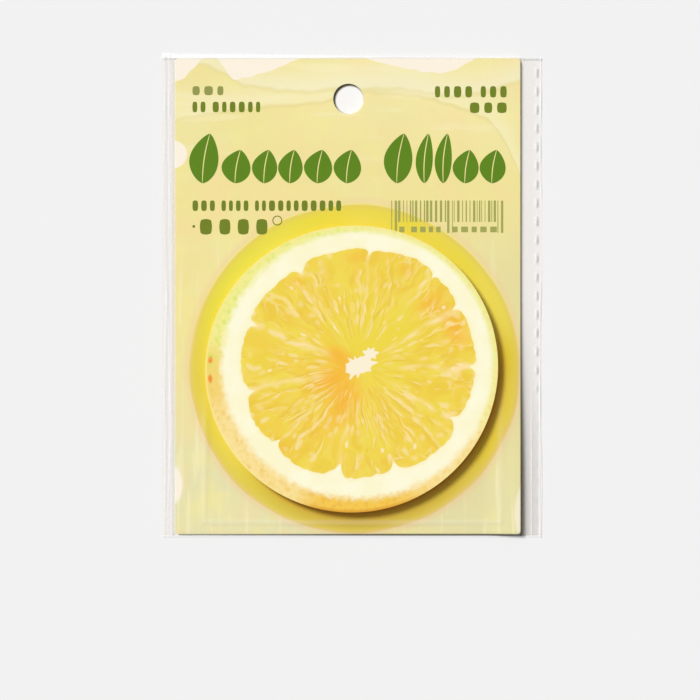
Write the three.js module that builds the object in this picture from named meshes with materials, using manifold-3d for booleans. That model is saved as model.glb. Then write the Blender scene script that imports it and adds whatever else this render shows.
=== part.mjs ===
// A pad of round sticky notes on a hang card, packed in a clear film bag.
// It lies on its back: +Z is the printed front, +Y points to the hang hole.
// The origin is the middle of the bag's outline, on the surface it rests on.
// All sizes are in millimetres.

import * as THREE from 'three';
import { mergeVertices } from 'three/addons/utils/BufferGeometryUtils.js';
import { ConvexGeometry } from 'three/addons/geometries/ConvexGeometry.js';
import Module from 'manifold-3d';

const wasm = await Module();
wasm.setup();

// Clear bag: a flat film tube, welded along its edges and bulged over the pad.
const bagWidth = 100;
const bagHeight = 127;
const weldThickness = 0.4;
const filmThickness = 0.25;

// Board that the notes are stuck on, with a round hole for a display hook.
const cardWidth = 91;
const cardHeight = 125.4;
const cardThickness = 0.5;
const cardCornerRadius = 1.0;
const cardCentre = new THREE.Vector2(-1.05, -0.1);
const holeRadius = 4;
const holeCentre = new THREE.Vector2(-0.85, 51.8);

// Pad of thirty notes, die-cut to the slightly uneven outline of a fruit slice.
const padRadius = 38;
const sheetCount = 30;
const sheetThickness = 0.1;
const padThickness = sheetCount * sheetThickness;
const padOval = 0.45;
const padOvalTurn = 18;
const padLobe = 0.13;
const padLobeTurn = 52;
const padCentre = new THREE.Vector2(0.15, -19.25);

const gap = 0.3;
const roofGap = 0.25;
const padSides = 96;
const holeSides = 48;
const cutDepth = 1;

const padTop = cardThickness + padThickness;
const bagTop = padTop + roofGap + filmThickness;

// Corner-rounded rectangle round a centre; grow moves its outline outwards.
function cardOutline(grow) {
  const left = cardCentre.x - cardWidth / 2 - grow;
  const right = cardCentre.x + cardWidth / 2 + grow;
  const low = cardCentre.y - cardHeight / 2 - grow;
  const high = cardCentre.y + cardHeight / 2 + grow;
  const radius = cardCornerRadius + grow;
  const shape = new THREE.Shape();
  shape.moveTo(left + radius, low);
  shape.absarc(right - radius, low + radius, radius, -Math.PI / 2, 0, false);
  shape.absarc(right - radius, high - radius, radius, 0, Math.PI / 2, false);
  shape.absarc(left + radius, high - radius, radius, Math.PI / 2, Math.PI, false);
  shape.absarc(left + radius, low + radius, radius, Math.PI, Math.PI * 1.5, false);
  return shape;
}

// Points round the pad: a circle with a slight oval and a slight three-lobed swell.
function padRing(grow) {
  const points = [];
  for (let i = 0; i < padSides; i += 1) {
    const turn = (i / padSides) * 360;
    const oval = padOval * Math.cos(THREE.MathUtils.degToRad(2 * (turn - padOvalTurn)));
    const lobe = padLobe * Math.cos(THREE.MathUtils.degToRad(3 * (turn - padLobeTurn)));
    const radius = padRadius + oval + lobe + grow;
    const angle = THREE.MathUtils.degToRad(turn);
    const x = padCentre.x + radius * Math.cos(angle);
    const y = padCentre.y + radius * Math.sin(angle);
    points.push(new THREE.Vector2(x, y));
  }
  return points;
}

// Straight prism from an outline, between two heights.
function prism(shape, low, high, curveSegments = 6) {
  const geometry = new THREE.ExtrudeGeometry(shape, {
    depth: high - low,
    bevelEnabled: false,
    curveSegments,
  });
  geometry.translate(0, 0, low);
  return geometry;
}

function toSolid(geometry) {
  const bare = geometry.clone();
  bare.deleteAttribute('normal');
  bare.deleteAttribute('uv');
  const merged = mergeVertices(bare, 1e-5);
  const mesh = new wasm.Mesh({
    numProp: 3,
    vertProperties: new Float32Array(merged.attributes.position.array),
    triVerts: new Uint32Array(merged.index.array),
  });
  return new wasm.Manifold(mesh);
}

function toGeometry(solid) {
  const mesh = solid.getMesh();
  const geometry = new THREE.BufferGeometry();
  geometry.setAttribute('position', new THREE.BufferAttribute(mesh.vertProperties, 3));
  geometry.setIndex(new THREE.BufferAttribute(mesh.triVerts, 1));
  geometry.computeVertexNormals();
  return geometry;
}

// Film pulled tight over the card and the pad: the smallest convex shape round
// the card's edge and the pad's upper rim, one film thickness outside both.
function tautFilm() {
  const left = cardCentre.x - cardWidth / 2 - gap - filmThickness;
  const right = cardCentre.x + cardWidth / 2 + gap + filmThickness;
  const low = cardCentre.y - cardHeight / 2 - gap - filmThickness;
  const high = cardCentre.y + cardHeight / 2 + gap + filmThickness;
  const cardFilmTop = cardThickness + roofGap + filmThickness;
  const points = [];
  for (const x of [left, right]) {
    for (const y of [low, high]) {
      points.push(new THREE.Vector3(x, y, 0));
      points.push(new THREE.Vector3(x, y, cardFilmTop));
    }
  }
  for (const point of padRing(gap + filmThickness)) {
    points.push(new THREE.Vector3(point.x, point.y, bagTop));
  }
  return new ConvexGeometry(points);
}

// The bag is one solid: the taut film over the flat welded margins, with a
// pocket for the card and the pad that is open at the back.
function bagGeometry() {
  const margins = new THREE.BoxGeometry(bagWidth, bagHeight, weldThickness);
  margins.translate(0, 0, weldThickness / 2);
  const cardPocket = prism(cardOutline(gap), -cutDepth, cardThickness + roofGap);
  const padPocket = prism(new THREE.Shape(padRing(gap)), -cutDepth, padTop + roofGap);
  const solid = toSolid(tautFilm())
    .add(toSolid(margins))
    .subtract(toSolid(cardPocket))
    .subtract(toSolid(padPocket));
  return toGeometry(solid);
}

function cardGeometry() {
  const shape = cardOutline(0);
  const hole = new THREE.Path();
  hole.absarc(holeCentre.x, holeCentre.y, holeRadius, 0, Math.PI * 2, true);
  shape.holes.push(hole);
  return prism(shape, 0, cardThickness, holeSides / 4);
}

function padGeometry() {
  return prism(new THREE.Shape(padRing(0)), cardThickness, padTop);
}

function part(name, geometry, settings) {
  const mesh = new THREE.Mesh(geometry, new THREE.MeshStandardMaterial(settings));
  mesh.name = name;
  return mesh;
}

const group = new THREE.Group();
group.add(part('clear_bag', bagGeometry(), {
  color: 0xe9e6e2,
  roughness: 0.1,
  metalness: 0,
  transparent: true,
  opacity: 0.25,
}));
group.add(part('backing_card', cardGeometry(), { color: 0xf0e3a0, roughness: 0.5, metalness: 0 }));
group.add(part('note_pad', padGeometry(), { color: 0xf0d24b, roughness: 0.7, metalness: 0 }));

export default group;
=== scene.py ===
import math

import bpy
import numpy as np
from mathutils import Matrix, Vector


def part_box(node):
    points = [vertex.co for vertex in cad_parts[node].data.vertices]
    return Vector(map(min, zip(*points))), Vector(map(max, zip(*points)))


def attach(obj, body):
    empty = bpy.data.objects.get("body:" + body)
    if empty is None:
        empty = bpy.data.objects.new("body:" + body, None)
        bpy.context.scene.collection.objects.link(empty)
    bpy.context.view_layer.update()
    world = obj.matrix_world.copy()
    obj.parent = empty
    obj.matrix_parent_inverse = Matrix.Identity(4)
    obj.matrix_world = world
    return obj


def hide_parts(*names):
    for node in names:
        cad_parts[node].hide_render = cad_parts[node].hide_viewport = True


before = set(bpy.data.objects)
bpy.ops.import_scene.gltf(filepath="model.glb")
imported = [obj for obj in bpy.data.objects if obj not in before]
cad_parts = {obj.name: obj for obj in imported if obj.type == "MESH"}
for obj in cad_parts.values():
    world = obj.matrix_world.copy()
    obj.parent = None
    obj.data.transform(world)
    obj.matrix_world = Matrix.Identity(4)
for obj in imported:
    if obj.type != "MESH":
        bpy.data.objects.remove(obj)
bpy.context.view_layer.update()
mm = 0.001  # everything below is worked out in millimetres, and made metres when it goes into a mesh


# The lowest and highest corner of a CAD node, in millimetres.
def nodeBox(node):
    low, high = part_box(node)
    return np.array(low) / mm, np.array(high) / mm


bagLow, bagHigh = nodeBox("clear_bag")
cardLow, cardHigh = nodeBox("backing_card")
padLow, padHigh = nodeBox("note_pad")
cardMiddle = (cardLow + cardHigh) / 2
print("frame: bag", bagHigh - bagLow, "card", cardHigh - cardLow, "pad", padHigh - padLow)

# The CAD model's outlines: the pad's is a circle with an oval and a lobe.
pad = dict(centre=(0.15, -19.25), radius=38.0, oval=0.45, ovalTurn=18, lobe=0.13, lobeTurn=52, sheets=30)
hole = dict(centre=(-0.85, 51.8), radius=4.0)
sheetStep = (padHigh[2] - padLow[2]) / pad["sheets"]


# sRGB hex to the linear values that Blender's sockets take.
def linear(colour):
    parts = [int(colour[i:i + 2], 16) / 255 for i in (1, 3, 5)]
    return [p / 12.92 if p <= 0.04045 else ((p + 0.055) / 1.055) ** 2.4 for p in parts] + [1.0]


# Adds one node. A key that is a property sets it; any other is a socket, by name or by number, which takes
# a value, or a link from another node's first output in use or from the socket given.
def addNode(tree, kind, given):
    node = tree.nodes.new("ShaderNode" + kind)
    for key, value in given.items():
        if isinstance(key, str) and key in node.bl_rna.properties:
            setattr(node, key, value)
            continue
        named = [s for s in node.inputs if s.name == key and s.enabled]
        socket = node.inputs[key] if isinstance(key, int) else named[0]
        if isinstance(value, bpy.types.Node):
            value = next(s for s in value.outputs if s.enabled)
        if isinstance(value, bpy.types.NodeSocket):
            tree.links.new(value, socket)
        else:
            socket.default_value = linear(value) if isinstance(value, str) else value
    return node


# Paints one colour over another where every mask is on. A mask is a value with two limits, and comes on
# smoothly as the value goes from the first limit to the second.
def paintOver(tree, under, over, strength, *masks):
    share = strength
    for value, off, on in masks:
        step = addNode(tree, "MapRange", {"interpolation_type": "SMOOTHSTEP", "Value": value,
                                          "From Min": off, "From Max": on})
        share = addNode(tree, "Math", {"operation": "MULTIPLY", 0: share, 1: step})
    return addNode(tree, "Mix", {"data_type": "RGBA", "Factor": share, "A": under, "B": over})


# Paints layers over a colour, one after another: each is a colour, a strength and its masks.
def paintLayers(tree, colour, layers):
    for over, strength, *masks in layers:
        colour = paintOver(tree, colour, over, strength, *masks)
    return colour


# Noise in the object's own metres, with its scale along each axis: larger is finer along that axis.
def stretchedNoise(tree, place, scale, detail=2.0):
    stretched = addNode(tree, "Mapping", {"Vector": place, "Scale": scale})
    return addNode(tree, "TexNoise", {"Vector": stretched, "Scale": 1.0, "Detail": detail})


# A flat place in millimetres, counted from a middle.
def placeFrom(tree, place, x, y):
    return addNode(tree, "Mapping", {"Vector": place, "Scale": (1000, 1000, 0), "Location": (-x, -y, 0)})


# Ends a material for paper, board or ink: a rough non-metal with a fine relief.
def paperShader(tree, colour, rough, gloss, relief, strength):
    bump = addNode(tree, "Bump", {"Strength": strength, "Distance": 0.00005, "Height": relief})
    shader = addNode(tree, "BsdfPrincipled", {"Base Color": colour, "Roughness": rough, "IOR": 1.5,
                                              "Specular IOR Level": gloss, "Normal": bump})
    addNode(tree, "OutputMaterial", {"Surface": shader})


# A new material, its empty node tree, and the piece's patterns that it reads, by label.
def newMaterial(name, labels=()):
    material = bpy.data.materials.new(name)
    material.use_nodes = True
    tree = material.node_tree
    tree.nodes.clear()
    reads = {k: addNode(tree, "Attribute", {"attribute_name": k}).outputs["Fac"] for k in labels}
    return material, tree, reads


# Corner numbers of a rows x columns grid's four-sided faces, facing up when columns run to the right and
# rows run away; a wrapped direction joins its last line to its first.
def gridFaces(rows, columns, wrapRows=False, wrapColumns=False):
    index = np.arange(rows * columns).reshape(rows, columns)
    if wrapRows:
        index = np.vstack([index, index[:1]])
    if wrapColumns:
        index = np.hstack([index, index[:, :1]])
    corners = [index[:-1, :-1], index[:-1, 1:], index[1:, 1:], index[1:, :-1]]
    return np.stack(corners, -1).reshape(-1, 4)


# A closed slab: an upper grid of points, the same grid lower down facing the other way, and a wall round
# their border. With more than one slab the first direction of the arrays counts them.
def slabFaces(count, rows, columns):
    index = np.arange(rows * columns).reshape(rows, columns)
    size = rows * columns
    upper = gridFaces(rows, columns)
    lower = upper[:, ::-1] + size
    border = np.concatenate([index[0, :-1], index[:-1, -1], index[-1, :0:-1], index[:0:-1, 0]])
    after = np.roll(border, -1)
    wall = np.stack([border, border + size, after + size, after], -1)
    faces = np.concatenate([upper, lower, wall])
    return (faces[None] + (np.arange(count) * 2 * size)[:, None, None]).reshape(-1, 4)


# Puts points in millimetres and four-sided faces into a mesh, with one number per point for each pattern.
def makePiece(name, points, faces, material, slot, patterns=None, smooth=True, replaces=None):
    mesh = bpy.data.meshes.new(name)
    mesh.vertices.add(len(points))
    mesh.vertices.foreach_set("co", (np.asarray(points) * mm).astype(np.float32).ravel())
    mesh.loops.add(faces.size)
    mesh.loops.foreach_set("vertex_index", faces.astype(np.int32).ravel())
    mesh.polygons.add(len(faces))
    mesh.polygons.foreach_set("loop_start", np.arange(0, faces.size, 4, dtype=np.int32))
    mesh.polygons.foreach_set("use_smooth", np.full(len(faces), smooth))
    mesh.update(calc_edges=True)
    mesh.validate()
    for label, values in (patterns or {}).items():
        layer = mesh.attributes.new(label, "FLOAT", "POINT")
        layer.data.foreach_set("value", values.astype(np.float32).ravel())
    if smooth:
        mesh.set_sharp_from_angle(angle=math.radians(50))
    piece = bpy.data.objects.new(name, mesh)
    bpy.context.scene.collection.objects.link(piece)
    mesh.materials.append(material)
    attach(piece, "root")
    if replaces:
        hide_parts(replaces)
    print("made", name, len(points), "points", len(faces), "faces")


# Slabs from an array (count, rows, columns, 2) of flat points, between two heights.
def makeSlabs(name, flat, low, high, material, slot, **more):
    count, rows, columns = flat.shape[:3]
    heights = [np.broadcast_to(np.asarray(h, float), flat.shape[:3])[..., None] for h in (high, low)]
    points = np.stack([np.concatenate([flat, h], -1) for h in heights], 1)
    patterns = {k: np.stack([v, v], 1) for k, v in more.pop("patterns", {}).items()}
    makePiece(name, points.reshape(-1, 3), slabFaces(count, rows, columns), material, slot,
              patterns=patterns, **more)


# A smooth random surface: the mean of sine waves in random directions, each about one wavelength long,
# from -1 to 1 or so.
def ripple(x, y, wavelength, seed, waves=14):
    draws = np.random.default_rng(seed)
    turn = draws.uniform(0, 2 * math.pi, waves)
    size = draws.uniform(0.6, 1.6, waves) * 2 * math.pi / wavelength
    phase = draws.uniform(0, 2 * math.pi, waves)
    total = sum(np.sin(x * s * math.cos(t) + y * s * math.sin(t) + p) for t, s, p in zip(turn, size, phase))
    return total / math.sqrt(waves / 2)


# 0 below the first limit and 1 above the second, with an S-shaped cubic between them.
def smoothStep(value, low, high):
    t = np.clip((value - low) / (high - low), 0, 1)
    return t * t * (3 - 2 * t)


# 1 between the middle two of four limits, falling smoothly to 0 at the outer two.
def between(value, limits):
    return smoothStep(value, limits[0], limits[1]) * (1 - smoothStep(value, limits[2], limits[3]))


# A bell: 1 in the middle and next to nothing at twice the width.
def bell(value, width):
    return np.exp(-(value / width) ** 2)


# A bell with a flat top: nearly 1 over most of the width and nothing soon after it.
def flatBell(value, width):
    return np.exp(-(value / width) ** 4)


# Distance from the pad's middle to its outline at a turn in radians: a circle with a slight oval and lobes.
def padOutline(turn):
    oval = pad["oval"] * np.cos(2 * (turn - math.radians(pad["ovalTurn"])))
    lobe = pad["lobe"] * np.cos(3 * (turn - math.radians(pad["lobeTurn"])))
    return pad["radius"] + oval + lobe


# Turn in radians round the pad's middle, and how far outside its outline a point is.
def padPlace(x, y):
    dx, dy = x - pad["centre"][0], y - pad["centre"][1]
    turn = np.arctan2(dy, dx)
    return turn, np.hypot(dx, dy) - padOutline(turn)


# The pad's flat shape as a grid of x and y: a square grid pressed into a disc, so that it has no pole, and
# stretched to the outline.
def padGrid(steps):
    u, v = np.meshgrid(np.linspace(-1, 1, steps), np.linspace(-1, 1, steps))
    x, y = u * np.sqrt(1 - v * v / 2), v * np.sqrt(1 - u * u / 2)
    reach = padOutline(np.arctan2(y, x))
    return pad["centre"][0] + x * reach, pad["centre"][1] + y * reach


# The slice that is printed on the top note.
fruit = dict(
    centre=(1.6, -18.45),                       # where the segments meet
    radius=29.5, lean=0.9, leanTurn=60,         # the segments' outline: a circle that leans to one side
    # walls between segments: turn, how far the pith runs in there, and how plainly the wall shows
    walls=[(-1, 1.7, 0.8), (30, 1.8, 1), (50, 1.3, 0.25), (83, 1.4, 0.35), (120, 2.0, 0.3), (159, 1.9, 1),
           (193, 1.9, 0.9), (223.5, 2.0, 0.25), (258.5, 3.3, 0.35), (290, 2.5, 0.3), (330.5, 2.5, 0.8)],
    # how far each segment swells out, by the turn of its middle
    swells=[(14, 0.4), (40, 0.55), (67, 0.75), (101, -0.3), (140, 0.5), (174, 1.2), (207, 1.4), (238, 1.75),
            (276, 0.0), (310, 0.8), (345, 0.6)],
    # the white core and a smaller star beside it: middle from where the segments meet, and size
    core=(0.3, -0.1, 2.75), secondCore=(3.3, 3.2, 1.5),
    zest=2.8, zestLean=1.9, zestLeanTurn=35,    # width of the zest's band, and where it is narrowest
    # tints round the zest, by turn: where green and gold start, are full, start to fade and end
    green=(70, 95, 165, 205), gold=(236, 264, 276, 320),
    thinTurn=55, tan=(183, 14), embers=[(176.4, 1.8), (184, 2.2)],
    # tints that lie along a line from the middle: turn, distance, length, width and strength
    orange=[(152, 6, 5, 2.6, 0.7), (203, 10, 7, 2.8, 0.6), (232, 9, 5, 4, 0.35), (262, 9, 6, 5, 0.5),
            (246, 17, 8, 5, 0.4), (222, 22, 6, 5, 0.25), (25, 27, 3, 3.5, 0.7), (15, 28, 3, 3, 0.8),
            (41, 25, 4.5, 3.5, 0.7), (92, 28.5, 2, 3.5, 0.45), (63, 28, 2.5, 3, 0.5),
            (127, 27, 2.5, 2.5, 0.6), (180, 14, 10, 3, 0.3), (285, 25, 4, 3, 0.3), (352, 28, 3, 3, 0.2),
            (228, 29, 1.5, 3, 0.4)],
    lime=[(70, 8, 8, 6, 0.9), (80, 17, 6, 4, 0.5), (35, 15, 8, 5, 0.8), (120, 10, 5, 4, 0.4),
          (330, 24, 5, 5, 0.4), (180, 25, 3, 4, 0.5), (350, 12, 6, 3, 0.5)],
)


# The sum of soft oval spots, each a bell along its line from the middle times a bell across it.
def tintSpots(x, y, spots):
    total = np.zeros_like(x)
    for turn, distance, length, width, strength in spots:
        a = math.radians(turn)
        dx = x - fruit["centre"][0] - distance * math.cos(a)
        dy = y - fruit["centre"][1] - distance * math.sin(a)
        along, across = dx * math.cos(a) + dy * math.sin(a), dy * math.cos(a) - dx * math.sin(a)
        total += strength * bell(along, length) * bell(across, width)
    return total


# How far inside the white core a point is: an oval with spikes of two rhythms, and a small spiked disc.
def coreInside(dx, dy, bearing):
    coreX, coreY, size = fruit["core"]
    spikes = np.abs(np.sin(5.5 * bearing + 0.6)) ** 6 * (0.55 + 0.45 * np.sin(3 * bearing + 1))
    first = size + 0.8 * np.cos(2 * (bearing - 0.35)) + 1.7 * spikes - np.hypot(dx - coreX, dy - coreY)
    coreX, coreY, size = fruit["secondCore"]
    spin = np.arctan2(dy - coreY, dx - coreX)
    second = size + 0.9 * np.abs(np.cos(3.5 * spin - 0.5)) ** 3 - np.hypot(dx - coreX, (dy - coreY) * 1.3)
    return np.maximum(first, second)


# Patterns for the printed sheet. flesh is how far inside the segments' outline a point is: a circle that
# leans to one side, with a notch at each wall, and segment ends rounded between the notches.
def slicePatterns(x, y):
    dx, dy = x - fruit["centre"][0], y - fruit["centre"][1]
    bearing, distance = np.arctan2(dy, dx), np.hypot(dx, dy)
    walls, notches, plainness = np.array(fruit["walls"]).T
    apart = (np.degrees(bearing)[..., None] - walls + 180) % 360 - 180
    nearest = np.abs(apart).argmin(-1)
    gap = np.take_along_axis(apart, nearest[..., None], -1)[..., 0]
    side = np.abs(distance * np.sin(np.radians(np.clip(gap, -60, 60))) + 0.35 * ripple(dx, dy, 9, 6))
    outline = fruit["radius"] + fruit["lean"] * np.cos(bearing - math.radians(fruit["leanTurn"]))
    outline += 0.22 * np.sin(7 * bearing + 1) + 0.18 * np.sin(12 * bearing + 2)
    outline += 0.1 * ripple(dx, dy, 3, 7)
    middles, swells = np.array(fruit["swells"]).T
    outline += np.interp(np.degrees(bearing), middles, swells, period=360)
    notch, shows = notches[nearest], plainness[nearest]
    outline += 0.4 - notch * (np.exp(-(side / (0.35 * notch)) ** 1.1) + 0.26 * bell(side, 2.6))
    wall = bell(side, 0.3 + 0.02 * shows * distance) * (0.75 + 0.4 * ripple(x, y, 6, 8))
    wall *= np.maximum(shows * smoothStep(distance, 5, 16), smoothStep(distance, 22, 28))
    turn, outside = padPlace(x, y)
    degrees = np.degrees(turn) % 360
    zest = fruit["zest"] - fruit["zestLean"] * np.cos(turn - math.radians(fruit["zestLeanTurn"])) + outside
    thin = smoothStep(np.cos(turn - math.radians(fruit["thinTurn"])), -0.1, 0.4)
    tanTurn, tanWide = fruit["tan"]
    ember = sum(bell(degrees - middle, wide) for middle, wide in fruit["embers"])
    return dict(flesh=outline - distance, wall=wall, core=coreInside(dx, dy, bearing), out=distance,
                orange=tintSpots(x, y, fruit["orange"]), lime=tintSpots(x, y, fruit["lime"]), rim=-outside,
                zest=zest, green=between(degrees, fruit["green"]), gold=between(degrees, fruit["gold"]),
                thin=thin, tan=bell(degrees - tanTurn, tanWide), ember=ember * bell(outside + 1.1, 0.7))


# Note paper, offset printed: a golden slice whose juice sacs run out from the middle as long pale-edged
# drops, a cream pith and a pored zest; matt, with a faint sheen of ink.
def slicePrint(labels):
    material, tree, reads = newMaterial("offset-printed note paper, citrus slice", labels)
    place = addNode(tree, "TexCoord", {}).outputs["Object"]
    centred = placeFrom(tree, place, *fruit["centre"])
    out, rim, green, gold, thin = [reads[k] for k in ("out", "rim", "green", "gold", "thin")]
    along = addNode(tree, "VectorMath", {"operation": "NORMALIZE", 0: centred})
    bend, loopWave, loopPatch, pithTone, fray, speck, fibre = [
        addNode(tree, "TexNoise", {"Vector": centred, "Scale": scale, "Detail": detail}) for scale, detail in
        ((0.17, 1.5), (0.33, 0.5), (0.11, 1.0), (0.12, 2.0), (0.6, 2.0), (0.7, 2.0), (3.0, 4.0))]
    bent = addNode(tree, "VectorMath", {"operation": "SUBTRACT", 0: bend.outputs["Color"], 1: (0.5,) * 3})

    # a place whose first two parts go round the slice and whose third goes out from the middle
    def radial(around, length, wander):
        ring = addNode(tree, "VectorMath", {"operation": "SCALE", 0: along, "Scale": around})
        steps = addNode(tree, "Math", {"operation": "DIVIDE", 0: out, 1: length})
        rise = addNode(tree, "CombineXYZ", {"Z": steps})
        sway = addNode(tree, "VectorMath", {"operation": "MULTIPLY_ADD", 0: bent, 1: (wander,) * 3, 2: rise})
        return addNode(tree, "VectorMath", {"operation": "ADD", 0: ring, 1: sway})

    # drops scattered along the radii: how near a point is to a drop's middle, and a number for each drop
    def drops(around, length, wander):
        cells = addNode(tree, "TexVoronoi", {"Vector": radial(around, length, wander), "Scale": 1.0})
        pick = addNode(tree, "SeparateXYZ", {"Vector": cells.outputs["Color"]})
        return cells.outputs["Distance"], pick.outputs["X"]

    edges = addNode(tree, "TexVoronoi", {"feature": "DISTANCE_TO_EDGE", "Vector": radial(6.5, 11, 1.0),
                                         "Scale": 1.0})
    rays, broad, patchy = [addNode(tree, "TexNoise", {"Vector": radial(*size), "Scale": 1.0, "Detail": 2.0})
                           for size in ((9, 8, 1.0), (3, 12, 1.2), (2.4, 9, 1.0))]
    sac, sacPick = drops(6, 6, 1.0)
    dash, dashPick = drops(12, 5, 1.4)
    blob, blobPick = drops(9, 3.2, 1.4)
    glint, glintPick = drops(15, 3.0, 2.0)
    loop = addNode(tree, "Math", {"operation": "SUBTRACT", 0: loopWave, 1: 0.5})
    loop = addNode(tree, "Math", {"operation": "ABSOLUTE", 0: loop})

    # the print imitates plump drops of juice, so their relief is drawn as light and shade, plainer in patches
    bulge = addNode(tree, "MapRange", {"Value": edges, "From Min": 0.0, "From Max": 0.3})
    height = addNode(tree, "Math", {"operation": "MULTIPLY_ADD", 0: rays, 1: 1.6, 2: bulge})
    relief = addNode(tree, "Bump", {"Strength": 1.0, "Distance": 0.0005, "Height": height})
    sideways = addNode(tree, "VectorMath", {"operation": "CROSS_PRODUCT", 0: along, 1: (0, 0, 1)})
    lit = addNode(tree, "VectorMath", {"operation": "DOT_PRODUCT", 0: relief, 1: sideways}).outputs["Value"]

    flesh = paintLayers(tree, "#F1D24C", [
        ("#F1DC54", 1.0, (broad, 0.38, 0.62)),
        ("#ECC940", 0.5, (sac, 0.7, 0.3), (sacPick, 0.45, 0.55)),  # deeper sacs
        ("#EEDA46", reads["lime"]),
        ("#F9B236", 0.85, (reads["orange"], 0.05, 1.0)),
        ("#F6DC6E", 0.45, (rays, 0.5, 0.66), (out, 4, 13)),  # pale fibres
        ("#E9BE3A", 0.3, (lit, -0.06, -0.4), (patchy, 0.38, 0.52), (out, 3, 12)),  # shaded sides of sacs
        ("#D8B23A", 0.35, (lit, -0.3, -0.8), (patchy, 0.42, 0.56), (out, 6, 14)),
        ("#FAE29A", 0.8, (lit, 0.14, 0.5), (patchy, 0.42, 0.56), (out, 5, 14)),  # and their lit sides
        ("#FAE4A4", 0.65, (dash, 0.42, 0.25), (dashPick, 0.72, 0.78), (out, 3, 10)),  # long pale drops
        ("#FBE8B4", 0.45, (loop, 0.03, 0.01), (loopPatch, 0.6, 0.66), (out, 14, 20)),  # shreds of skin
        ("#FBE2A4", 0.5, (blob, 0.42, 0.15), (blobPick, 0.62, 0.68), (out, 5, 14)),  # short pale drops
        ("#FEF0CC", 0.75, (glint, 0.34, 0.16), (glintPick, 0.93, 0.95), (out, 4, 12)),
        ("#FBE3A0", reads["wall"]),
    ])

    pith = paintLayers(tree, "#FDFCE0", [
        ("#FCF8D2", 1.0, (pithTone, 0.35, 0.65)),
        ("#FBF3C0", 0.6, (reads["flesh"], -1.1, -0.1)),
        ("#EAEE7C", 0.95, (rim, 2.4, 0.0), (thin, 0.0, 1.0)),  # where the zest is thin
    ])
    zestEdge = addNode(tree, "Math", {"operation": "MULTIPLY_ADD", 0: fray, 1: 2.4, 2: reads["zest"]})
    pores = addNode(tree, "TexVoronoi", {"Vector": centred, "Scale": 0.6})
    porePick = addNode(tree, "SeparateXYZ", {"Vector": pores.outputs["Color"]}).outputs["X"]
    pore = paintOver(tree, "#F0CA60", "#CFE552", 1.0, (green, 0.2, 0.8))
    zest = paintLayers(tree, "#FAE39C", [
        ("#F5CB50", 1.0, (gold, 0.1, 0.9)),
        ("#F5F0A4", 0.9, (thin, 0.2, 0.9)),
        ("#F3EF96", 1.0, (green, 0.1, 0.9)),
        ("#F3CC5C", 0.65, (reads["tan"], 0.1, 0.9)),
        (pore, 0.4, (speck, 0.45, 0.68), (green, 0.6, 0.1)),
        (pore, 0.55, (pores.outputs["Distance"], 0.7, 0.15), (porePick, 0.55, 0.8)),
        (pore, 0.35, (speck, 0.5, 0.66), (green, 0.2, 0.9)),
        ("#EDB23C", 0.5, (speck, 0.47, 0.62), (gold, 0.3, 0.9)),
        # painted highlight along the pad's cut edge on the side towards the lamp, off on the gold side
        ("#F9EC98", 0.6, (rim, 0.5, 0.2), (gold, 0.5, 0.0)),  # pale cut edge
        # painted shade: a darker rim on the lower side, where the pad's cut edge turns from the lamp
        ("#DD9E2C", 0.8, (rim, 1.1, 0.1), (gold, 0.3, 1.0)),
        ("#F2862A", 0.85, (reads["ember"], 0.3, 0.8), (speck, 0.2, 0.45)),
    ])
    colour = paintLayers(tree, pith, [
        (zest, 1.0, (zestEdge, 0.2, 2.8)),
        (flesh, 1.0, (reads["flesh"], -0.12, 0.14)),
        ("#FBF1D8", 1.0, (reads["core"], -0.15, 0.3)),
    ])
    paperShader(tree, colour, 0.55, 0.12, fibre, 0.15)
    return material


# The top note, a thin slab with the slice on it.
def makeTopNote():
    x, y = padGrid(215)
    patterns = {k: v[None] for k, v in slicePatterns(x, y).items()}
    makeSlabs("topNote", np.stack([x, y], -1)[None], padHigh[2] - sheetStep, padHigh[2],
              slicePrint(list(patterns)), "paper", patterns=patterns, replaces="note_pad")


makeTopNote()

stack = dict(shift=0.05, lean=(-0.22, 0.05), solid=0.86)  # shift of each note, lean of all, paper in a step


# Cut edges of white note paper, warmed by the ink that bleeds to the edge; fine lines between the sheets.
def paperEdge():
    material, tree, _ = newMaterial("guillotined note paper edge")
    place = addNode(tree, "TexCoord", {}).outputs["Object"]
    tone = stretchedNoise(tree, place, (300, 300, 4000))
    colour = paintOver(tree, "#F6E795", "#EED76C", tone)
    paperShader(tree, colour, 0.75, 0.2, tone, 0.1)
    return material


# The lower notes, each a thin solid spanned between the two halves of the outline, shifted a hair from the
# one above so that their edges show as fine lines.
def makeStack():
    count = pad["sheets"] - 1
    draws = np.random.default_rng(5)
    turn = np.linspace(math.pi - 0.012, 0.012, 121)
    turns = np.stack([-turn, turn])
    reach = padOutline(turns)
    outline = np.stack([reach * np.cos(turns), reach * np.sin(turns)], -1) + pad["centre"]
    depth = np.arange(count) / count
    offsets = draws.normal(0, stack["shift"], (count, 2)) + (1 - depth)[:, None] * stack["lean"]
    flat = outline[None] + offsets[:, None, None, :]
    low = (padLow[2] + np.arange(count) * sheetStep)[:, None, None]
    makeSlabs("lowerNotes", flat, low, low + sheetStep * stack["solid"], paperEdge(), "paper", smooth=False)


makeStack()

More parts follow.
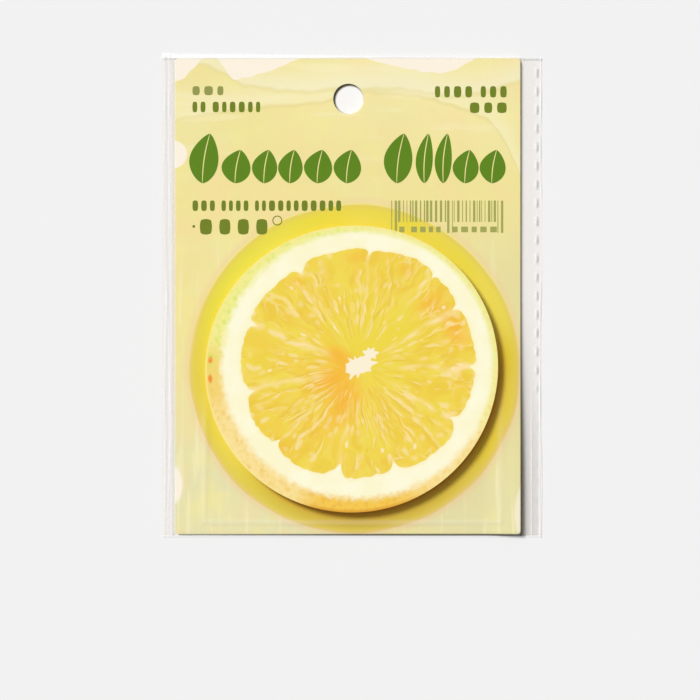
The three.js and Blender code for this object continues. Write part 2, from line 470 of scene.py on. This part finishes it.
card = dict(
    corner=1.0, edgeRound=0.07,    # radius of its corners, and of the edges that the die rolls
    curl=0.9, curlFrom=34,         # how far its lower right corner curls up, and from where
    arch=0.35, archWide=14,        # how far it arches at the hole, and how widely
)
field = dict(
    body=(0.72, -19.05, 43.5),     # the printed fruit behind the pad: middle and radius
    # the pale field's wavy upper edge
    top=[(-48, 55.5), (-46.5, 56.4), (-43.8, 57.8), (-41.2, 60.5), (-38.8, 62.8), (-35.6, 62.6),
         (-33.6, 60.1), (-32, 57.8), (-28, 57.4), (-24.1, 58.5), (-19.5, 60.0), (-16.2, 61.6), (-11, 63),
         (2, 63), (6.8, 61.6), (15.3, 59.7), (23.8, 58.8), (27.1, 59.5), (30.4, 61.4), (33.7, 63), (48, 64)],
    # notches in its sides: middle, width, height, how sharp the edge is, and the least that the field keeps
    notches=[(-47, 37.2, 3.6, 3.6, 1, -1), (-46.6, -49.8, 1.9, 4.4, 0.4, -1),
             (46.0, -57, 2.9, 7.5, 0.4, 0.03)],
    # lower edges of two paler washes that lie over the field
    washes=[[(-48, 62), (-33, 58.3), (-30, 56.2), (-26, 55.0), (-19.5, 54.2), (-11, 53.6), (-5, 54.2),
             (7, 54.4), (15.3, 54.2), (21.8, 53.2), (27.4, 52.4), (36, 54), (48, 58)],
            [(-48, 46), (-36, 48), (-23.4, 49.6), (-18.8, 50.1), (-11, 50.6), (-5.7, 51.6), (3.5, 53.6),
             (11.4, 53.2), (17.9, 52.6), (24.5, 50.6), (31, 48.6), (38, 44), (43, 35), (48, 20)]],
)


# How far a point lies below a smooth line through the given points (a cubic between each two of them).
def belowLine(x, y, line):
    line = np.array(line, float)
    slope = np.gradient(line[:, 1], line[:, 0])
    k = np.clip(np.searchsorted(line[:, 0], x) - 1, 0, len(line) - 2)
    span = line[k + 1, 0] - line[k, 0]
    t = (x - line[k, 0]) / span
    start = (1 + 2 * t) * (1 - t) ** 2 * line[k, 1] + t * (1 - t) ** 2 * slope[k] * span
    end = t * t * (3 - 2 * t) * line[k + 1, 1] + t * t * (t - 1) * slope[k + 1] * span
    return start + end - y


# Distance from the middle of the hang hole.
def holeDistance(x, y):
    return np.hypot(x - hole["centre"][0], y - hole["centre"][1])


# How far the board stands off the surface: its lower right corner curls up, and it arches at the hole.
def cardLift(x, y):
    curl = card["curl"] * smoothStep(x, card["curlFrom"], cardHigh[0]) * smoothStep(-y, -5, -cardLow[1])
    return curl + card["arch"] * bell(holeDistance(x, y), card["archWide"])


# Closed loop of the card's corner-rounded outline, clockwise, moved outwards by grow.
def cardLoop(grow):
    radius = card["corner"] + grow
    half = (cardHigh - cardLow)[:2] / 2 + grow - radius
    arcs = []
    for quarter, corner in enumerate([(1, 1), (-1, 1), (-1, -1), (1, -1)]):
        turn = (quarter + np.linspace(0, 1, 7)) * math.pi / 2
        arc = np.stack([np.cos(turn), np.sin(turn)], -1) * radius
        arcs.append(cardMiddle[:2] + np.array(corner) * half + arc)
    loop = []
    for k, steps in enumerate([90, 124, 90, 124]):
        start, end = arcs[k][-1], arcs[(k + 1) % 4][0]
        share = np.linspace(0, 1, steps + 1)[1:-1, None]
        loop += [arcs[k], start + (end - start) * share]
    return np.concatenate(loop)[::-1]


# Patterns for the board: how far inside the pale field and the printed fruit a point is, how far below each
# wash's edge, and a painted shadow of the pad, which fades with distance and lies on the lower right.
def cardPatterns(x, y):
    ground = belowLine(x, y, field["top"]) + 0.1 * ripple(x, y, 5, 11)
    for notchX, notchY, wide, tall, sharp, least in field["notches"]:
        away = np.hypot((x - notchX) / wide, (y - notchY) / tall) - 1
        ground = np.minimum(ground, np.maximum(away * min(wide, tall) * sharp, least))
    bodyX, bodyY, bodyRadius = field["body"]
    body = bodyRadius - np.hypot(x - bodyX, y - bodyY) + 0.12 * ripple(x, y, 25, 12)
    turn, outside = padPlace(x, y)
    # painted shadow of the pad: strongest on its lower right, away from the lamp, fading outwards
    reach = 1.0 + 1.4 * smoothStep(np.cos(turn - math.radians(325)), 0, 0.8)
    shade = smoothStep(np.cos(turn - math.radians(303)), 0.1, 0.6) * np.exp(-np.maximum(outside, 0) / reach)
    washes = [belowLine(x, y, line) + 0.15 * ripple(x, y, 6, 13) for line in field["washes"]]
    return dict(ground=ground, body=body, shade=shade, washOne=washes[0], washTwo=washes[1])


# The board is a section carried round from the hole's wall, over the front to the outer edge and back
# underneath: each row mixes the hole's loop with the outline's, and both front edges are rolled by the die.
def makeCard():
    roll = card["edgeRound"]
    outer = cardLoop(0)
    turn = np.arctan2(outer[:, 1] - hole["centre"][1], outer[:, 0] - hole["centre"][0])
    around = np.stack([np.cos(turn), np.sin(turn)], -1)
    low, high = cardLow[2], cardHigh[2]
    bend = np.linspace(0, math.pi / 2, 4)
    rows = [(0, 0, low)]
    rows += [(0, roll * (1 - math.cos(b)), high - roll * (1 - math.sin(b))) for b in bend]
    rows += [(share, 0, high) for share in np.linspace(0, 1, 132)[1:-1]]
    rows += [(1, -roll * (1 - math.sin(b)), high - roll * (1 - math.cos(b))) for b in bend]
    rows += [(1, 0, low)] + [(share, 0, low) for share in np.linspace(1, 0, 6)[1:-1]]
    points = []
    for share, grow, height in rows:
        inner = np.array(hole["centre"]) + around * (hole["radius"] + (grow if share == 0 else roll))
        flat = inner + (cardLoop(grow if share == 1 else -roll) - inner) * share
        points.append(np.concatenate([flat, np.full((len(flat), 1), height)], 1))
    points = np.array(points)
    x, y, z = points[..., 0], points[..., 1], points[..., 2]
    patterns = dict(cardPatterns(x, y), printed=np.where(z > high - roll - 0.001, 1.0, 0.0))
    points[..., 2] += cardLift(x, y)
    faces = gridFaces(len(rows), points.shape[1], wrapRows=True, wrapColumns=True)
    makePiece("hangCard", points.reshape(-1, 3), faces, cardPrint(list(patterns)), "card", patterns=patterns,
              replaces="backing_card")


# Coated board, offset printed: a washy pale yellow field with a wavy edge, and a solid yellow fruit body
# behind the pad, with a painted brown shadow of the pad on its lower right; the ink is satin, the cut edge
# and the back are raw pale board.
def cardPrint(labels):
    material, tree, reads = newMaterial("offset-printed coated board", labels)
    place = addNode(tree, "TexCoord", {}).outputs["Object"]
    parts = addNode(tree, "SeparateXYZ", {"Vector": place})
    across, up = parts.outputs["X"], parts.outputs["Y"]
    cloud, cloudTwo, wet, streaks, sides, mottle = [
        stretchedNoise(tree, place, (wide, tall, 1), detail) for wide, tall, detail in
        ((45, 25, 2), (30, 60, 2), (120, 100, 3), (35, 260, 3), (500, 30, 2), (40, 40, 2))]
    washOne, washTwo, edge = reads["washOne"], reads["washTwo"], reads["body"]
    ground = paintLayers(tree, "#E6E2B2", [
        ("#F0E49C", 1.0, (up, -0.055, 0.0)),
        ("#F4E9A8", 1.0, (up, 0.03, 0.05), (across, -0.03, 0.005)),
        ("#F6E0A0", 0.6, (cloud, 0.5, 0.7)),
        ("#EFE7A6", 0.7, (cloudTwo, 0.5, 0.66)),
        ("#F5DEA2", 0.35, (wet, 0.52, 0.66)),
        ("#F4EC9C", 0.35, (wet, 0.48, 0.36)),
        ("#E2DCA4", 0.7, (across, 0.0, 0.045), (up, 0.03, 0.0)),
        ("#F6EFC0", 0.7, (washTwo, 0.3, -0.4), (washTwo, -12.0, 0.0)),  # each wash, paler
        ("#EADD98", 0.7, (washTwo, -0.9, 0.0), (washTwo, 0.9, 0.2)),  # and the line where it dried
        ("#F5F0CC", 0.7, (washOne, 0.3, -0.4), (washOne, -9.0, 0.0)),
        ("#E9DE9E", 0.6, (washOne, -0.9, 0.0), (washOne, 0.9, 0.2)),
        ("#FAF3CC", 0.3, (streaks, 0.55, 0.66), (up, 0.025, 0.045)),
        ("#F8F1C8", 0.45, (sides, 0.55, 0.68), (up, 0.03, -0.01)),
    ])
    line = paintOver(tree, "#F6EFA8", "#E8C98E", 1.0, (up, 0.015, -0.03))
    body = paintLayers(tree, "#E8D844", [
        ("#EBDA56", 1.0, (mottle, 0.4, 0.65)),
        ("#DCC854", 0.8, (across, -0.03, -0.045)),
        ("#DEDC46", 0.6, (across, 0.0, -0.025), (up, -0.025, 0.005)),
        ("#D9C650", 1.0, (up, -0.035, -0.062)),
        ("#E4D060", 1.0, (edge, 2.4, 0.2)),
        (line, 0.6, (edge, 0.75, 0.25)),
    ])
    printed = paintLayers(tree, "#FBF3E2", [
        (ground, 1.0, (reads["ground"], -0.1, 0.2)),
        ("#EFD2A0", 0.45, (edge, -2.2, -0.2)),
        (body, 1.0, (edge, -0.25, 0.3)),
        # painted shadow of the pad, brown
        ("#BC7604", reads["shade"]),
    ])
    colour = paintOver(tree, "#EFE9DC", printed, reads["printed"])
    rough = addNode(tree, "Math", {"operation": "MULTIPLY_ADD", 0: reads["printed"], 1: -0.38, 2: 0.8})
    fibre = addNode(tree, "TexNoise", {"Vector": place, "Scale": 2500.0, "Detail": 3.0})
    paperShader(tree, colour, rough, 0.1, fibre, 0.12)
    return material


makeCard()

ink = dict(
    high=0.02,                     # how far the ink stands on the board
    # the title's leaves: their foot, the tips and bends of the tall and the short ones, left sides and widths
    foot=29.6, tallTip=42.7, shortTip=38.4, tallBend=0.5, shortBend=0.35,
    tall=[(-41.95, 7.4), (9.3, 7.2), (17.6, 4.2), (22.6, 4.2)],
    short=[(-33.75, 7.4), (-25.75, 6.4), (-18.85, 6.2), (-12.05, 7.2), (-4.25, 7.0), (27.1, 6.6),
           (34.2, 6.6)],
    # rows of blocks: left, right, low, high, blocks in each group, and a seed for their widths
    faintRows=[(-41.95, -33.8, 52.8, 55.2, [3], 1)],
    rows=[(-41.95, -24.1, 48.3, 51.1, [2, 6], 2), (21.9, 40.8, 52.2, 55.2, [4, 3], 3),
          (31.1, 40.8, 48.1, 50.9, [3], 4), (-41.95, -2.8, 22.3, 25.1, [3, 4, 11], 5),
          (-40, -22.2, 16.1, 20.2, [4], 6)],
    dot=(-41.95, -41.25, 17.9, 18.6), ring=(-19.6, 19.8), ringRadii=(1.3, 1.05),
    # the bars: left, right, high, foot, the longer ones' foot, how many, and which are longer
    bars=(10.4, 39.9, 25.1, 19.4, 16.5), barCount=32, longBars=(0, 1, 15, 16, 30, 31),
    barWidths=(0.25, 0.3, 0.45, 0.8), barGaps=(0.35, 0.5, 0.9),
    barRows=[(12.5, 23.4, 16.7, 18.2, [1, 4], 7), (26.5, 38.2, 16.7, 18.2, [5], 8)],
)


# Ink that stands on the board as a thin printed layer, its tone a little uneven like a flat offset solid.
def inkMaterial(name, dark, light):
    material, tree, _ = newMaterial(name)
    place = addNode(tree, "TexCoord", {}).outputs["Object"]
    mottle = addNode(tree, "TexNoise", {"Vector": place, "Scale": 120.0, "Detail": 3.0})
    grain = addNode(tree, "TexNoise", {"Vector": place, "Scale": 3000.0, "Detail": 2.0})
    paperShader(tree, paintOver(tree, dark, light, mottle), 0.45, 0.1, grain, 0.1)
    return material


# Rounded blocks, one for each (left, right, low, high): a square grid pressed part of the way into an oval.
def blockShapes(spans, roundness=0.6, steps=7):
    spans = np.array(spans, float)
    u, v = np.meshgrid(np.linspace(-1, 1, steps), np.linspace(-1, 1, steps))
    shape = np.stack([u * np.sqrt(1 - roundness * v * v / 2), v * np.sqrt(1 - roundness * u * u / 2)], -1)
    middle = np.stack([spans[:, :2].mean(1), spans[:, 2:].mean(1)], -1)
    half = np.stack([spans[:, 1] - spans[:, 0], spans[:, 3] - spans[:, 2]], -1) / 2
    return middle[:, None, None] + shape[None] * half[:, None, None]


# A row of small blocks that fills a band from left to right: their widths vary, and the gaps between groups
# are wider than those inside a group.
def blockRow(left, right, low, high, groups, seed):
    draws = np.random.default_rng(seed)
    widths = draws.uniform(0.75, 1.2, sum(groups))
    gaps = np.full(sum(groups), 0.6)
    gaps[np.cumsum(groups)[:-1] - 1] = 1.3
    gaps[-1] = 0
    ends = np.cumsum(widths + gaps)
    starts = ends - widths - gaps
    scale = (right - left) / ends[-1]
    return [(left + s * scale, left + (s + w) * scale, low, high) for s, w in zip(starts, widths)]


# Half a leaf on each side of a slit: length along the axis, width swelling as a sine and pulled to the
# foot, the axis bent to one side. Each is (foot x, foot y, tip x, tip y, width, bend).
def leafShapes(leaves, slit=0.28, rows=6, columns=26):
    leaves = np.array(leaves, float)
    u = np.linspace(0.004, 0.996, columns)[None, None, :]
    v = np.linspace(0, 1, rows)[None, :, None]
    foot, tip = leaves[:, 0:2], leaves[:, 2:4]
    length = np.hypot(*(tip - foot).T)
    along = (tip - foot) / length[:, None]
    across = np.stack([-along[:, 1], along[:, 0]], -1)
    swell = np.sin(math.pi * u ** 0.85) ** 0.75
    reach = slit / 2 * np.sin(math.pi * u) ** 0.3 + v * leaves[:, 4][:, None, None] / 2 * swell
    bend = leaves[:, 5][:, None, None] * np.sin(math.pi * u)
    base = foot[:, None, None] + along[:, None, None] * (u * length[:, None, None])[..., None]
    left, right = [base + across[:, None, None] * (bend + side * reach)[..., None] for side in (1, -1)]
    return np.concatenate([left, right[:, ::-1]])


# Puts flat shapes on the board as a layer of ink that follows its curve.
def printShapes(name, flat, material):
    board = cardHigh[2] + cardLift(flat[..., 0], flat[..., 1])
    makeSlabs(name, flat, board - 0.01, board + ink["high"], material, "card", smooth=False)


# Bars of random widths with random gaps, scaled to fill their band; they stand for a code and hold none.
def barBlocks():
    left, right, high, foot, longFoot = ink["bars"]
    draws = np.random.default_rng(9)
    widths = draws.choice(ink["barWidths"], ink["barCount"])
    gaps = draws.choice(ink["barGaps"], ink["barCount"])
    starts = np.concatenate([[0], np.cumsum(widths + gaps)[:-1]])
    scale = (right - left) / (starts[-1] + widths[-1])
    feet = [longFoot if k in ink["longBars"] else foot for k in range(ink["barCount"])]
    return [(left + s * scale, left + (s + w) * scale, low, high) for s, w, low in zip(starts, widths, feet)]


# The small print as plain shapes: leaves, rows of blocks, bars and a ring.
def makeInk():
    green = inkMaterial("offset green ink, leaf solid", "#598218", "#628A1E")
    moss = inkMaterial("offset moss ink, small lines", "#6C7F20", "#76872A")
    faint = inkMaterial("offset moss ink, faint", "#8E964A", "#989E58")
    olive = inkMaterial("offset olive ink, fine lines", "#9DA253", "#A9AC62")
    foot, tallTip, shortTip = ink["foot"], ink["tallTip"], ink["shortTip"]
    leaves = [(x + w * 0.35, foot, x + w * 0.62, tallTip, w, ink["tallBend"]) for x, w in ink["tall"]]
    leaves += [(x + w * 0.4, foot, x + w * 0.6, shortTip, w, ink["shortBend"]) for x, w in ink["short"]]
    printShapes("printedLeaves", leafShapes(leaves), green)
    printShapes("printedFaint", blockShapes(sum([blockRow(*row) for row in ink["faintRows"]], [])), faint)
    blocks = sum([blockRow(*row) for row in ink["rows"]], []) + [ink["dot"]]
    printShapes("printedWords", blockShapes(blocks), moss)
    bars = barBlocks() + sum([blockRow(*row) for row in ink["barRows"]], [])
    printShapes("printedBars", blockShapes(bars, 0.1, 3), olive)
    turn = np.linspace(0.01, 2 * math.pi - 0.01, 41)
    rims = [np.stack([r * np.cos(turn), r * np.sin(turn)], -1) + ink["ring"] for r in ink["ringRadii"]]
    printShapes("printedRing", np.stack(rims)[None, :, ::-1], moss)


makeInk()

film = dict(
    slack=0.85,                    # under 1 it hangs below a straight line from the pad to the card's edge
    waves=0.1,                     # height of its waves
    cardGap=0.08, padGap=0.06,     # air under the film
    margin=0.12, footMargin=0.03,  # height of the welded margins, and at the foot
    wellLean=0.32,                 # how far the hole's crescent of shade leans to the upper left
    # the foot line is milky weld and painted highlight
    footLine=(0.1, 0.15),          # milky line at the foot: distance from the bag's edge, and width
    # ribs along the sides: place, width, height and how milky
    ribs=[(-49.3, 0.2, 0.1, 0.3), (-48.2, 0.25, 0.1, 0.3), (49.8, 0.18, 0.2, 0.5)],
    # milky lines down the right margin's lower half, by place and width, and the grey band between them
    lowerLines=[(47.35, 0.16), (49.5, 0.2)], lowerBand=(47.4, 47.8, 48.9, 49.3),
    topSlope=0.011,                # the mouth's edge runs down to the right
    dashLine=48.75, dashWide=0.3, dashPitch=4.9, dashLong=1.15, dashHigh=0.15, dashEnd=-24,
    # a faint frame pressed by the pocket's edge: left, right, foot, height
    crease=(-39.2, 39.4, -59.6, 0.09),
    # the grid is finer over the margins: where its stretches meet, and the steps in each
    meetX=(-44.0, 44.0), stepsX=(46, 88, 50), meetY=(-62.3, 61.4), stepsY=(20, 206, 18),
)


# Upper edge of the film: the bag's, run down to the right.
def filmTop(x):
    return bagHigh[1] - 0.3 - film["topSlope"] * x


# Marks of the weld along the right margin: 1 on a dash, 0 between them.
def weldDashes(x, y, shift=0.0):
    step = (y / film["dashPitch"] + 0.5) % 1 - 0.5
    along = np.exp(-(step * film["dashPitch"] / film["dashLong"]) ** 6)
    along *= 0.12 + 0.88 * smoothStep(y, film["dashEnd"] - 6, film["dashEnd"] + 6)
    return flatBell(x - film["dashLine"] - shift, film["dashWide"]) * along


# The crease that frames the lower half of the front: 1 on its line.
def creaseLine(x, y, wide):
    left, right, foot, _ = film["crease"]
    sides = (bell(x - left, wide) + bell(x - right, wide)) * smoothStep(-y, 22, 40)
    low = bell(y - foot, wide) * smoothStep(x, left - 0.3, left) * smoothStep(-x, -right - 0.3, -right)
    return sides * smoothStep(y, foot - 0.3, foot) + low


# The ribs, each a bell across a line that sways a little, times one of its values: 2 is height and 3 milk.
def ribLines(x, y, which, wavelength, seed):
    total = np.zeros_like(x)
    for k, rib in enumerate(film["ribs"]):
        sway = rib[0] + 0.18 * ripple(y, 0 * y, 50, 30 + k)
        total += rib[which] * bell(x - sway, rib[1])
    return total * (0.7 + 0.3 * ripple(y, 0 * y, wavelength, seed))


# Height of the film's front: flat over the pad, falling along each ray from the pad's edge to the card's
# edge with some slack, then to the welded margins, with ribs along the sides and a row of weld dashes.
def filmFront(x, y):
    dx, dy = x - pad["centre"][0], y - pad["centre"][1]
    turn, distance = np.arctan2(dy, dx), np.hypot(dx, dy)
    cosine, sine = np.cos(turn), np.sin(turn)
    sideX = np.where(cosine > 0, cardHigh[0] - pad["centre"][0], pad["centre"][0] - cardLow[0])
    sideY = np.where(sine > 0, cardHigh[1] - pad["centre"][1], pad["centre"][1] - cardLow[1])
    edge = np.minimum(sideX / np.maximum(np.abs(cosine), 1e-6), sideY / np.maximum(np.abs(sine), 1e-6))
    rim = padOutline(turn) + 0.15
    fall = np.clip((distance - rim) / (edge - rim), 0, 1) ** film["slack"]
    top, cardTop = padHigh[2] + film["padGap"], cardHigh[2] + film["cardGap"]
    height = top + (cardTop - top) * fall + cardLift(x, y)
    height += film["waves"] * fall * (1 - fall) * 4 * ripple(x, y, 26, 21)
    asideX = np.maximum(np.maximum(cardLow[0] - x, x - cardHigh[0]), 0)
    asideY = np.maximum(np.maximum(cardLow[1] - y, y - cardHigh[1]), 0)
    weld = film["margin"] + (film["footMargin"] - film["margin"]) * smoothStep(cardLow[1] - y, 0, 0.3)
    height = weld + (height - weld) * bell(asideX, 0.8) * bell(asideY, 0.12)
    height += ribLines(x, y, 2, 18, 40)
    return height + film["dashHigh"] * weldDashes(x, y) + film["crease"][3] * creaseLine(x, y, 0.6)


# A white line at the film's foot, between the board's edge and the bag's: a milky weld, brightened as a
# painted highlight.
def footMilkAndHighlight(y):
    height, wide = film["footLine"]
    return flatBell(y - bagLow[1] - height, wide)


# How milky the film is, partly as painted highlight: at its foot a white line; on ribs and creases; on the
# dashes' lit sides as painted highlight; down the right margin; and a white band along its mouth past the
# card and where it lies doubled over the card's top edge, doubled film whitened as a painted highlight.
def filmMilkAndHighlights(x, y):
    haze = footMilkAndHighlight(y) + ribLines(x, y, 3, 14, 45)
    # painted highlight on the dashes' sides towards the lamp, and milk on the creases
    haze += 0.4 * weldDashes(x, y, -0.3) + 0.15 * creaseLine(x, y, 0.5)
    for place, wide in film["lowerLines"]:
        haze += 0.5 * bell(x - place, wide) * smoothStep(-y, 15, 45)
    # white along the mouth and over the card's top edge: doubled film, whitened as a painted highlight
    haze += 0.6 * bell(y - filmTop(x) + 0.3, 0.2) * smoothStep(x, cardHigh[0], 45)
    strip = smoothStep(y, cardHigh[1] - 0.55, cardHigh[1] + 0.4) * (1 - smoothStep(x, cardHigh[0] - 0.5, 45))
    return np.clip(haze + strip * (0.95 - 0.35 * smoothStep(x, -20, 25)), 0, 1)


# Where it looks grey, partly as painted shade: faintly beside the card's right edge, where two slack layers
# lie over each other and the card's shade falls; a painted shade line beside the card's left edge; a grey
# line down the left margin; painted shade on the dashes' far sides; a grey band down the right margin; along
# the top it doesn't.
def filmGreyAndShade(x, y):
    # faint grey beside the card's right edge: doubled film, and painted shade of the card
    dull = 0.04 * smoothStep(x, cardHigh[0], cardHigh[0] + 0.3) * (1 - smoothStep(x, 47.6, 48.6))
    # painted shade beside the card's left edge, and a grey line down the left margin
    dull += 0.3 * bell(x - cardLow[0] + 0.65, 0.35) + 0.15 * bell(x + 48.75, 0.2)
    # painted shade on the dashes' far sides from the lamp, and a grey band down the lower right margin
    dull += 0.45 * weldDashes(x, y, 0.15) + 0.14 * between(x, film["lowerBand"]) * smoothStep(-y, 15, 45)
    return np.clip(dull - 0.3 * smoothStep(y, cardHigh[1] - 1, cardHigh[1]), 0, 1)


# Painted shadow of the board's right and lower edges, in a dark colour: beside the board a narrow line,
# wider towards the foot, and below it one that starts near the left corner.
def filmPaintedShadow(x, y):
    right, foot = x - cardHigh[0], cardLow[1] - y
    reach = smoothStep(-y, -5, 55)
    beside = 0.85 * bell(right, 0.24) * (1 - 0.4 * reach) + 0.7 * reach * np.exp(-np.maximum(right, 0) / 1.5)
    beside *= (right > -0.02) * (foot < 1.2)
    toRight = smoothStep(x, -25, 15)
    below = flatBell(foot - 0.15 - 0.05 * toRight, 0.2 + 0.15 * toRight) * (0.25 + 0.15 * toRight)
    below *= smoothStep(x, cardLow[0], cardLow[0] + 30) * (right < 0.8)
    return np.maximum(0.75 * beside * smoothStep(cardHigh[1] - 0.4 - y, 0, 1.5), below)


# Cast polypropylene film, 0.04 mm, clear and glossy: it lets the print through, takes a sharp gloss at
# low angles, and goes milky where it is folded or welded. Mixed over it are a grey that is partly painted
# shade, a dark colour for painted shadows beside the board's edges and in the hole, and white that is
# partly painted highlight.
def filmMaterial():
    material, tree, reads = newMaterial("cast polypropylene film, clear", ("haze", "dull", "dark", "well"))
    place = addNode(tree, "TexCoord", {}).outputs["Object"]
    # a painted shadow in the hole: a crescent of shade inside the upper left of its rim, in the dark colour;
    # it darkens from 3.5 to 4.1 mm off its middle and ends before 4.9 mm
    lean = film["wellLean"]
    dip = placeFrom(tree, place, hole["centre"][0] + lean, hole["centre"][1] - lean)
    away = addNode(tree, "VectorMath", {"operation": "LENGTH", 0: dip}).outputs["Value"]
    crescent = addNode(tree, "MapRange", {"Value": away, "From Min": 3.5, "From Max": 4.1, "To Max": 0.9})
    inner = addNode(tree, "MapRange", {"Value": away, "From Min": 4.9, "From Max": 4.6})
    for share in (inner, reads["well"]):
        crescent = addNode(tree, "Math", {"operation": "MULTIPLY", 0: crescent, 1: share})
    wave = addNode(tree, "TexNoise", {"Vector": place, "Scale": 90.0, "Detail": 3.0})
    bump = addNode(tree, "Bump", {"Strength": 0.25, "Distance": 0.0004, "Height": wave})
    clear = addNode(tree, "BsdfTransparent", {"Color": "#FFFEFD"})
    gloss = addNode(tree, "BsdfGlossy", {"Color": "#FFFFFF", "Roughness": 0.12, "Normal": bump})
    # white milk, grey, and the dark colour of the painted shadows
    milk, grey, shadowShader = [addNode(tree, "BsdfDiffuse", {"Color": colour})
                        for colour in ("#FFFFFF", "#C9C4C6", "#4E4826")]
    facing = addNode(tree, "LayerWeight", {"Blend": 0.5, "Normal": bump}).outputs["Facing"]
    steep = addNode(tree, "Math", {"operation": "POWER", 0: facing, 1: 5.0})
    edge = addNode(tree, "Math", {"operation": "MULTIPLY_ADD", 0: steep, 1: 0.5, 2: 0.008})
    whole = addNode(tree, "MixShader", {0: edge, 1: clear, 2: gloss})
    # grey with painted shade, painted shadow by the board's edges, milk with painted highlights, painted
    # shadow in the hole
    layers = ((reads["dull"], grey), (reads["dark"], shadowShader), (reads["haze"], milk), (crescent, shadowShader))
    for share, over in layers:
        whole = addNode(tree, "MixShader", {0: share, 1: whole, 2: over})
    addNode(tree, "OutputMaterial", {"Surface": whole})
    return material


# Grid lines along a side of the bag: stretches of even steps between places.
def gridLines(places, steps):
    stretches = [np.linspace(a, b, n, endpoint=False) for a, b, n in zip(places, places[1:], steps)]
    return np.concatenate(stretches + [places[-1:]])


# The bag is a closed slab: the front follows the pad and the board, the back lies flat under them, and above
# the last meeting of stretches the grid is drawn to the mouth's slanting edge. Over the hole the back is
# milky white, a painted glare that makes the hole show pale.
def makeBag():
    x, y = np.meshgrid(gridLines([bagLow[0], *film["meetX"], bagHigh[0]], film["stepsX"]),
                       gridLines([bagLow[1], *film["meetY"], bagHigh[1]], film["stepsY"]))
    start = film["meetY"][1]
    y = np.where(y > start, start + (y - start) * (filmTop(x) - start) / (bagHigh[1] - start), y)
    front, back = np.stack([x, y, filmFront(x, y)], -1), np.stack([x, y, np.full_like(x, -0.03)], -1)
    # the hole's disc: painted white glare on the back, and where the painted shadow in the hole lies
    well = 1 - smoothStep(holeDistance(x, y) - hole["radius"], 0.4, 1.4)
    none = np.zeros_like(x)
    patterns = dict(haze=np.stack([filmMilkAndHighlights(x, y), np.maximum(0.94 * well, footMilkAndHighlight(y))]),
                    well=np.stack([none, well]), dull=np.stack([filmGreyAndShade(x, y), none]),
                    dark=np.stack([filmPaintedShadow(x, y), none]))
    makePiece("filmBag", np.stack([front, back]).reshape(-1, 3), slabFaces(1, *x.shape), filmMaterial(),
              "film", patterns=patterns, replaces="clear_bag")


makeBag()

fold = dict(left=-51.1, right=50.7, wide=0.9, thick=0.03, tail=4.5, foot=-0.1, top=-0.07)


# The film's mouth, folded over and sealed: a flat roll along the top edge, drawn out to a point at the left.
# Its section is half an ellipse, its ends taper.
def makeFold():
    u, v = np.meshgrid(np.linspace(0, 1, 160), np.linspace(-1, 1, 9))
    x = fold["left"] + (fold["right"] - fold["left"]) * u
    taper = smoothStep(x, fold["left"], fold["left"] + fold["tail"]) ** 0.6 * 0.9 + 0.1
    taper *= 0.4 + 0.6 * smoothStep(-x, -fold["right"], -fold["right"] + 1.5)
    y = filmTop(x) - 0.3 * taper + fold["wide"] / 2 * v * taper + 0.05 * ripple(x, 0 * x, 30, 51)
    arch = fold["thick"] * taper * np.sqrt(np.maximum(1 - v * v, 0)) + 0.006 * ripple(x, 6 * y, 12, 52)
    milk = (1 - v ** 2) ** 0.8 * (0.8 + 0.2 * ripple(x, 3 * y, 9, 53))
    milk *= smoothStep(x, fold["left"], fold["left"] + 1.5) * (0.15 + 0.85 * smoothStep(-x, -cardHigh[0], 10))
    makeSlabs("topFold", np.stack([x, y], -1)[None], fold["foot"], (fold["top"] + np.maximum(arch, 0))[None],
              foldedFilm(), "film", patterns=dict(milk=np.clip(milk, 0, 1)[None]))


# The same film in many layers, welded: white, partly as a painted highlight along the mouth, with a wet
# gloss.
def foldedFilm():
    material, tree, reads = newMaterial("cast polypropylene film, folded and welded", ("milk",))
    shader = addNode(tree, "BsdfPrincipled", {"Base Color": "#FFFFFF", "Roughness": 0.35, "IOR": 1.49,
                                              "Alpha": reads["milk"]})
    addNode(tree, "OutputMaterial", {"Surface": shader})
    return material


makeFold()

view = dict(lens=200, sensor=36, across=183.8, middle=(-0.46, -14.3))  # across is the width seen, in mm


# Looks straight down from far off through a long lens, so that edges hardly show.
def makeCamera():
    data = bpy.data.cameras.new("topView")
    data.lens = view["lens"]
    data.sensor_width = view["sensor"]
    data.clip_end = 10
    camera = bpy.data.objects.new("topView", data)
    bpy.context.scene.collection.objects.link(camera)
    height = view["across"] * view["lens"] / view["sensor"]
    camera.location = (view["middle"][0] * mm, view["middle"][1] * mm, (padHigh[2] + height) * mm)
    bpy.context.scene.camera = camera


studio = dict(floor=-0.15, floorSize=6, sun=2.79, sunAngle=17, sunTurn=138, sunHeight=48, sky=0.35)


# A pale floor, one soft lamp from the upper left and an even white sky.
def makeStudio():
    bpy.ops.mesh.primitive_plane_add(size=studio["floorSize"], location=(0, 0, studio["floor"] * mm))
    floor = bpy.context.object
    floor.name = "floor"
    material, tree, _ = newMaterial("matt white paper sweep")
    shader = addNode(tree, "BsdfDiffuse", {"Color": "#F1F1F1"})
    addNode(tree, "OutputMaterial", {"Surface": shader})
    floor.data.materials.append(material)
    sun = bpy.data.lights.new("key", "SUN")
    sun.energy = studio["sun"]
    sun.angle = math.radians(studio["sunAngle"])
    key = bpy.data.objects.new("key", sun)
    bpy.context.scene.collection.objects.link(key)
    tilt = math.radians(90 - studio["sunHeight"])
    key.rotation_euler = (tilt, 0, math.radians(studio["sunTurn"] + 90))
    world = bpy.data.worlds.new("sky")
    bpy.context.scene.world = world
    world.use_nodes = True
    world.node_tree.nodes.clear()
    sky = addNode(world.node_tree, "Background", {"Color": "#FFFFFF", "Strength": studio["sky"]})
    addNode(world.node_tree, "OutputWorld", {"Surface": sky})
    bpy.context.scene.view_settings.view_transform = "Standard"


makeCamera()
makeStudio()
print("camera, floor and light are set")
